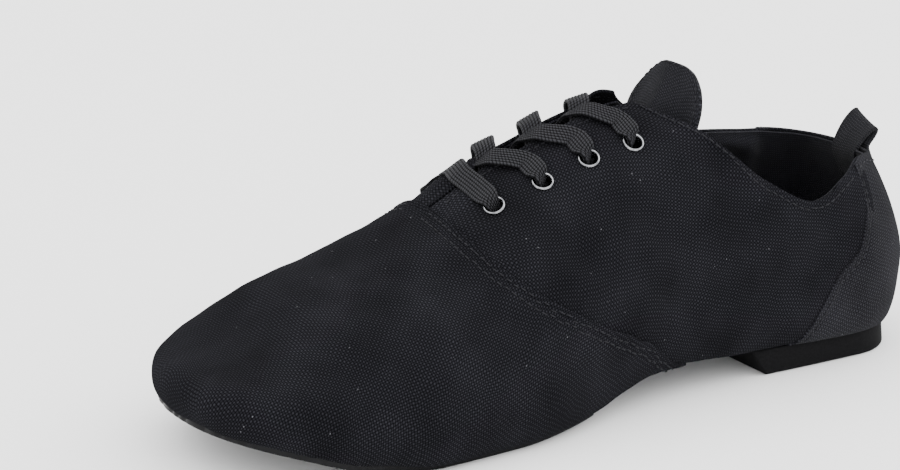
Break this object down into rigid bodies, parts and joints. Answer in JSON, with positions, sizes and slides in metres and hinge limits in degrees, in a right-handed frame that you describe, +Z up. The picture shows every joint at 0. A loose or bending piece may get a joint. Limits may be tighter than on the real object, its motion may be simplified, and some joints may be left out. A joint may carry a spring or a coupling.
{
  "type": "jazz shoe",
  "caption": "Low lace-up jazz dance shoe for the left foot: canvas upper, tongue, metal eyelets, flat lace, thin forefoot sole and low heel.",
  "frame": {"origin": "on the floor, under the middle of the shoe's outside length, on the last's centre line", "axes": "+Z up, -Y towards the toe, +Y towards the heel, +X towards the outer side of the left foot"},
  "size_m": [0.0976, 0.2632, 0.0976],
  "materials": {
    "canvas": "matt plain-weave cotton canvas, black",
    "lining": "matt black cotton lining",
    "sole": "smooth dark leather, slightly glossy edge",
    "rubber": "black moulded rubber, satin",
    "nickel": "bright nickel plate",
    "cord": "flat ribbed woven cotton lace, black"
  },
  "bodies": {
    "root": {"upper": "canvas", "tongue": "canvas", "insole": "lining", "forefoot_sole": "sole", "heel": "rubber", "eyelet_outer_1": "nickel", "eyelet_outer_2": "nickel", "eyelet_outer_3": "nickel", "eyelet_outer_4": "nickel", "eyelet_inner_1": "nickel", "eyelet_inner_2": "nickel", "eyelet_inner_3": "nickel", "eyelet_inner_4": "nickel", "lace_bar_1": "cord", "lace_cross_2": "cord", "lace_cross_3": "cord", "lace_cross_4": "cord", "pull_loop": "canvas"}
  },
  "joints": []
}
